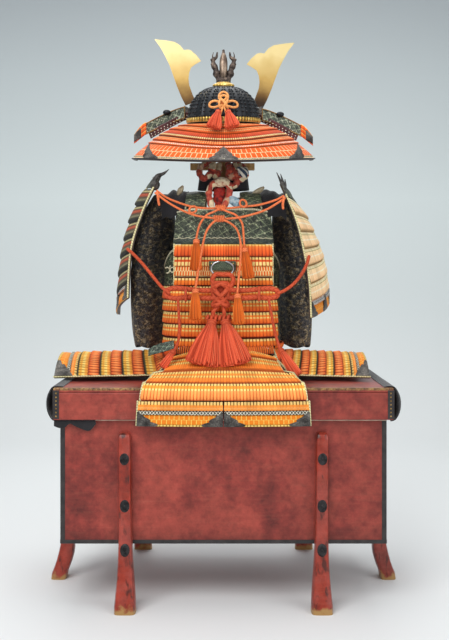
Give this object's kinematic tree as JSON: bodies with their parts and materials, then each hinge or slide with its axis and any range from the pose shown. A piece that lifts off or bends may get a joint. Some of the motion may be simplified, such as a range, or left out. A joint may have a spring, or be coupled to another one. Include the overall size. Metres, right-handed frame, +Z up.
{
  "type": "samurai armour on a wooden stand and a six-legged lacquered chest",
  "caption": "Full suit of laced samurai armour with horned helmet, wide neck guard, shoulder guards, skirts and silk bow, set up on a wooden stand on its red chest.",
  "frame": {"origin": "on the floor, under the middle of the chest", "axes": "+Z up; the armour's back faces -Y and its front faces +Y; +X is the wearer's right"},
  "size_m": [0.9938, 0.6218, 1.589],
  "materials": {
    "red_lacquer": "worn red lacquer over boards",
    "leg_lacquer": "glossier red lacquer on carved legs",
    "black_cotton": "plain black cotton",
    "stand_wood": "planed pale softwood",
    "bowl_iron": "black-lacquered riveted iron",
    "gilt_metal": "gilt copper, darker at the edges",
    "dark_bronze": "patinated copper alloy",
    "silver_ring": "dull silvered ring",
    "laced_rows": "silk-laced lacquered rows",
    "printed_leather": "stencilled green-black leather",
    "brocade": "dark flowered brocade",
    "silk_cord": "vermilion braided silk",
    "silk_tassel": "orange and red silk threads",
    "quilted_cotton": "red and cream printed cotton tube"
  },
  "bodies": {
    "root": {"chest_box": "red_lacquer", "chest_lid": "red_lacquer", "chest_leg_front_left": "leg_lacquer", "chest_leg_front_right": "leg_lacquer", "chest_leg_rear_left": "leg_lacquer", "chest_leg_rear_right": "leg_lacquer", "chest_leg_side_left": "leg_lacquer", "chest_leg_side_right": "leg_lacquer", "chest_cloth_left": "black_cotton", "chest_cloth_right": "black_cotton", "stand": "stand_wood", "helmet_bowl": "bowl_iron", "helmet_top_ring": "gilt_metal", "helmet_band": "gilt_metal", "horn_left": "gilt_metal", "horn_right": "gilt_metal", "horn_socket": "dark_bronze", "crest": "dark_bronze", "ring_plate": "dark_bronze", "body_ring": "silver_ring", "body_wrap": "laced_rows", "back_rows": "laced_rows", "neck_guard": "laced_rows", "skirt_rear": "laced_rows", "skirt_rear_foot_left": "laced_rows", "skirt_rear_foot_right": "laced_rows", "skirt_front": "laced_rows", "skirt_left": "laced_rows", "skirt_right": "laced_rows", "shoulder_guard_left": "laced_rows", "shoulder_guard_right": "laced_rows", "back_board": "printed_leather", "under_arm_board": "printed_leather", "side_plate": "printed_leather", "front_leather": "printed_leather", "front_board": "printed_leather", "shoulder_strap_left": "printed_leather", "shoulder_strap_right": "printed_leather", "helmet_visor": "printed_leather", "turn_back_left": "printed_leather", "turn_back_right": "printed_leather", "shoulder_guard_left_board": "printed_leather", "shoulder_guard_right_board": "printed_leather", "sleeve_left": "brocade", "sleeve_right": "brocade", "collar": "brocade", "helmet_bow": "silk_cord", "cord_top_a": "silk_cord", "cord_top_b": "silk_cord", "cord_low_left": "silk_cord", "cord_low_right": "silk_cord", "big_bow": "silk_cord", "bow_tail_left": "silk_cord", "bow_tail_right": "silk_cord", "helmet_tassels": "silk_tassel", "cord_tail_a": "silk_tassel", "cord_tail_b": "silk_tassel", "big_tassels": "silk_tassel", "neck_cord": "quilted_cotton", "neck_cloth": "quilted_cotton"}
  },
  "joints": []
}
